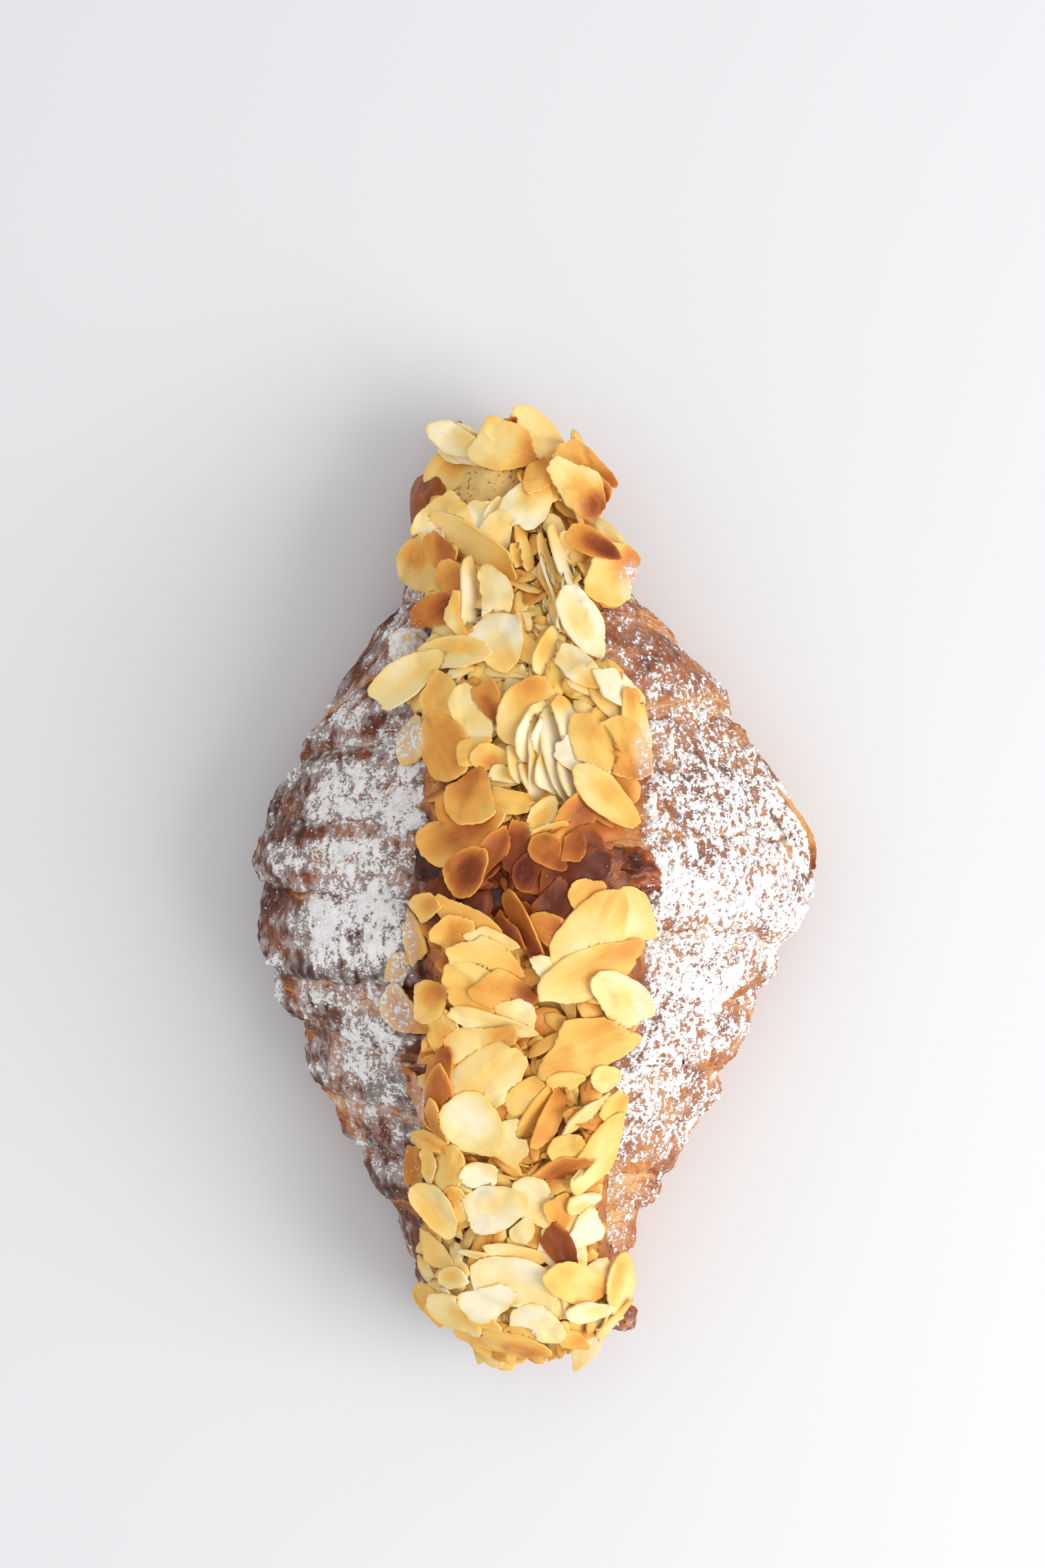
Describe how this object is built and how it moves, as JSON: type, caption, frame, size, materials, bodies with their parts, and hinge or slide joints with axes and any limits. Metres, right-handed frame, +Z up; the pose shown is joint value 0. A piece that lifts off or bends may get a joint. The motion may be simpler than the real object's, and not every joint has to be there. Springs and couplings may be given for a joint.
{
  "type": "almond croissant",
  "caption": "Rolled, stepped pastry with almond cream along its ridge under a heap of flaked almonds, dusted with sugar, lying on its flat base.",
  "frame": {"origin": "centre of the footprint of the whole piece, on the surface it lies on", "axes": "+Y along the roll towards its narrow end, +X across it, +Z up from the flat base"},
  "size_m": [0.0998, 0.1734, 0.0531],
  "materials": {
    "crust": "egg-washed brown crust with paler striped layers between the wraps",
    "cream": "baked almond cream, porous, golden with caramelised edges",
    "almonds": "toasted almond slices, cream to golden brown, satin",
    "sugar": "icing sugar, chalky white",
    "crumb": "dark toasted almond piece, slightly glossy"
  },
  "bodies": {
    "root": {"pastry": "crust", "almond_cream": "cream", "flaked_almonds": "almonds", "sugared_nib": "sugar", "toasted_nugget": "crumb"}
  },
  "joints": []
}
